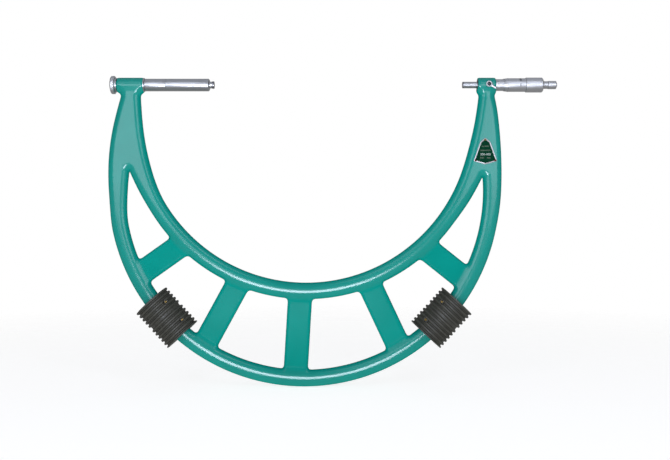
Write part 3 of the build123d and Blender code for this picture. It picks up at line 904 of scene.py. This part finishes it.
def collar_outline(name):
    """One collar's ribbed side as (along, radius), from end to end."""
    count, _, before, after, _ = COLLARS[name]
    half = (count - 1) * RIB_PITCH / 2
    start, end = -half - before, half + after
    side = [(start, RIB_ROOT_R)]
    for i in range(count):
        u = i * RIB_PITCH - half
        for reach, r in ((-2.1, RIB_ROOT_R), (-1.0, RIB_TIP_R), (1.0, RIB_TIP_R), (2.1, RIB_ROOT_R)):
            side.append((min(max(u + reach, start), end), r))
    side.append((end, RIB_ROOT_R))
    kept = [p for i, p in enumerate(side) if i == 0 or p != side[i - 1]]
    return np.array(kept, float)


def collar_shell(name, side):
    """Half a collar about its own middle: ribs outside, and inside an oval that the rail fits."""
    ribs = broken_edges(collar_outline(name), 0.7, False)
    cap = np.linspace(0.004, math.pi - 0.004, 49)
    rings = []
    for angle in cap:
        hollow = 1 / math.hypot(math.cos(angle) / 11.2, math.sin(angle) / 7.9)
        start, end = ribs[0][0], ribs[-1][0]
        loop = np.array([(start, hollow), *ribs, (end, hollow)])
        u, r = loop.T
        rings.append(np.stack([u, side * r * math.sin(angle), r * math.cos(angle)], -1))
    return skinned(np.array(rings), True, False)


def collar_middle(name):
    """How far along the grip a collar's middle is."""
    count, first, _, _, _ = COLLARS[name]
    return first + (count - 1) * RIB_PITCH / 2


def placed(points, name, right):
    """Points of a collar moved to its place on the rail of the left or the right grip."""
    rail_r = OUTER_R - OUTER_RAIL_W / 2
    along = math.degrees(collar_middle(name) / rail_r)
    at = on_circle(OUTER, rail_r, -90 - GRIP_ANGLE + along)
    turn = math.radians(GRIP_ANGLE)
    u, y, w = np.asarray(points, float).T
    x = at[0] + u * math.cos(turn) + w * math.sin(turn)
    z = at[1] - u * math.sin(turn) + w * math.cos(turn)
    if right:
        x = 2 * OUTER[0] - x
    return np.stack([x, y, z], -1)


def recess(obj, points, radius):
    """A round recess along Y, between the two given points in mm, cut out of a piece."""
    (x, y0, z), (_, y1, _) = points
    bpy.ops.mesh.primitive_cylinder_add(vertices=32, radius=radius * MM, depth=abs(y1 - y0) * MM)
    cutter = bpy.context.object
    cutter.rotation_euler = (math.pi / 2, 0, 0)
    cutter.location = (x * MM, (y0 + y1) / 2 * MM, z * MM)
    cut = obj.modifiers.new("recess", "BOOLEAN")
    cut.operation = "DIFFERENCE"
    cut.object = cutter
    bpy.context.view_layer.objects.active = obj
    bpy.ops.object.modifier_apply(modifier="recess")
    bpy.data.objects.remove(cutter)


def grip_screw(name, side, x, z, instead_of):
    """A socket-headed screw that sits in its recess."""
    head = [(11.5, 0.05), (11.5, 1.0), (13.5, 1.0), (13.5, 1.8)]
    head += [(14.3, 1.8), (14.7, 1.3), (14.6, 0.7), (13.9, 0.05)]
    disc_y(name, "frame_body", "brass", x, z, [(side * y, r) for y, r in head], None, instead_of)


def grips():
    """Two ribbed collars on each side, each of two halves that screws hold together."""
    for right in (False, True):
        for name, (_, _, _, _, screw_u) in COLLARS.items():
            for side, face in ((-1, "front"), (1, "back")):
                hand = "right" if right else "left"
                node = f"grip_{hand}_{name}_{face}"
                points, faces = collar_shell(name, side)
                obj = piece(
                    f"shell_{hand}_{name}_{face}",
                    placed(points, name, right),
                    faces,
                    "frame_body",
                    "grip_plastic",
                    instead_of=[node],
                    crease=40,
                )
                u = screw_u - collar_middle(name)
                w = -side * SCREW_W
                hole = placed([(u, side * 13.4, w), (u, side * 26, w)], name, right)
                recess(obj, hole, 2.9)
                obj.data.set_sharp_from_angle(angle=math.radians(40))
                stands_for = [f"grip_{hand}_screws"] if (name, side) == ("upper", -1) else []
                grip_screw(f"screw_{hand}_{name}_{face}", side, hole[0][0], hole[0][2], stands_for)


# --- the object ----------------------------------------------------------------------------------------

casting()
boss_rings()
anvil()
spindle()
sleeves()
thimble()
ratchet()
thimble_scale()
sleeve_scale()
lock()
name_plate()
rivets()
grips()


# --- stage ---------------------------------------------------------------------------------------------

LAMP_BLUE = (0.9, 0.96, 1.12)


def floor():
    """A pale floor that fades into the white surroundings."""
    bpy.ops.mesh.primitive_circle_add(vertices=96, radius=2.5, fill_type="NGON")
    disc = bpy.context.object
    disc.name = "floor"
    disc.location = ((CAD_BOX[0].x + CAD_BOX[1].x) / 2, 0, CAD_BOX[0].z - 0.0005)
    mat, tree, shader = new_material("floor", (0.4, 0.4, 0.4), 0.0, 0.8)
    shader.inputs["Emission Color"].default_value = (1, 1, 1, 1)
    shader.inputs["Emission Strength"].default_value = 0.8
    place = tree.nodes.new("ShaderNodeTexCoord")
    length = tree.nodes.new("ShaderNodeVectorMath")
    length.operation = "LENGTH"
    tree.links.new(place.outputs["Object"], length.inputs[0])
    fade = spread(tree, length.outputs["Value"], 1, 0, 0.35, 1.3)
    tree.links.new(fade, shader.inputs["Alpha"])
    disc.data.materials.append(mat)
    disc.visible_glossy = False


def softbox(name, place, size, radiance, down=False):
    """A rectangular lamp of that size in metres and that radiance, which faces the back, or the floor."""
    light = bpy.data.lights.new(name, "AREA")
    light.shape = "RECTANGLE"
    light.size, light.size_y = size
    light.energy = radiance * math.pi * size[0] * size[1]
    light.color = LAMP_BLUE
    lamp = bpy.data.objects.new(name, light)
    lamp.location = place
    lamp.rotation_euler = (0 if down else math.radians(90), 0, 0)
    bpy.context.scene.collection.objects.link(lamp)


def surroundings():
    """White to the camera, and a dim grey in what the object mirrors, darkest high up."""
    world = bpy.data.worlds.new("studio")
    bpy.context.scene.world = world
    world.use_nodes = True
    tree = world.node_tree
    back = tree.nodes["Background"]
    place = tree.nodes.new("ShaderNodeTexCoord")
    split = tree.nodes.new("ShaderNodeSeparateXYZ")
    tree.links.new(place.outputs["Generated"], split.inputs["Vector"])
    forward = maths(tree, "MULTIPLY", split.outputs["Y"], -1.0)
    rise = maths(tree, "ARCTAN2", split.outputs["Z"], forward)
    turn = spread(tree, rise, 0, 1, -math.pi, math.pi)
    ramp = tree.nodes.new("ShaderNodeValToRGB")
    ramp.color_ramp.elements[0].position = 0.0
    ramp.color_ramp.elements[0].color = (0.35, 0.35, 0.35, 1)
    ramp.color_ramp.elements[1].position = 1.0
    ramp.color_ramp.elements[1].color = (0.35, 0.35, 0.35, 1)
    for degrees, level in ((-60, 0.29), (0, 0.29), (40, 0.14), (110, 0.14), (150, 0.22)):
        step = ramp.color_ramp.elements.new((degrees + 180) / 360)
        step.color = (level, level, level, 1)
    tree.links.new(turn, ramp.inputs["Fac"])
    path = tree.nodes.new("ShaderNodeLightPath")
    mix = tree.nodes.new("ShaderNodeMix")
    mix.inputs["B"].default_value = 1.0
    tree.links.new(ramp.outputs["Color"], mix.inputs["A"])
    tree.links.new(path.outputs["Is Camera Ray"], mix.inputs["Factor"])
    tree.links.new(mix.outputs["Result"], back.inputs["Strength"])
    back.inputs["Color"].default_value = (1, 1, 1, 1)


def camera():
    """Level, square to the frame, as in the photograph."""
    data = bpy.data.cameras.new("camera")
    data.sensor_width = 36
    data.lens = 52
    cam = bpy.data.objects.new("camera", data)
    cam.location = (0.1496, -1.2, -0.1797)
    cam.rotation_euler = (math.radians(90), 0, 0)
    bpy.context.scene.collection.objects.link(cam)
    bpy.context.scene.camera = cam


def stage():
    floor()
    surroundings()
    camera()
    softbox("left_box", (-0.5, -1.2, 0.075), (0.9, 0.45), 2.9)
    softbox("right_box", (0.85, -1.2, 0.075), (0.85, 0.45), 2.9)
    softbox("low_box", (0.04, -1.25, -0.43), (0.52, 0.3), 21)
    softbox("left_high_box", (-0.4, -1.2, 1.05), (0.55, 1.2), 1.1)
    softbox("right_high_box", (0.7, -1.2, 1.05), (0.55, 1.2), 1.15)
    softbox("right_strip", (0.565, -1.2, 0.84), (0.13, 0.3), 12)
    softbox("top_box", (0.15, 0.1, 0.8), (1.6, 0.95), 0.3, True)
    bpy.context.scene.view_settings.view_transform = "Standard"


stage()


def corners(box):
    return [list(box[0]), list(box[1])]
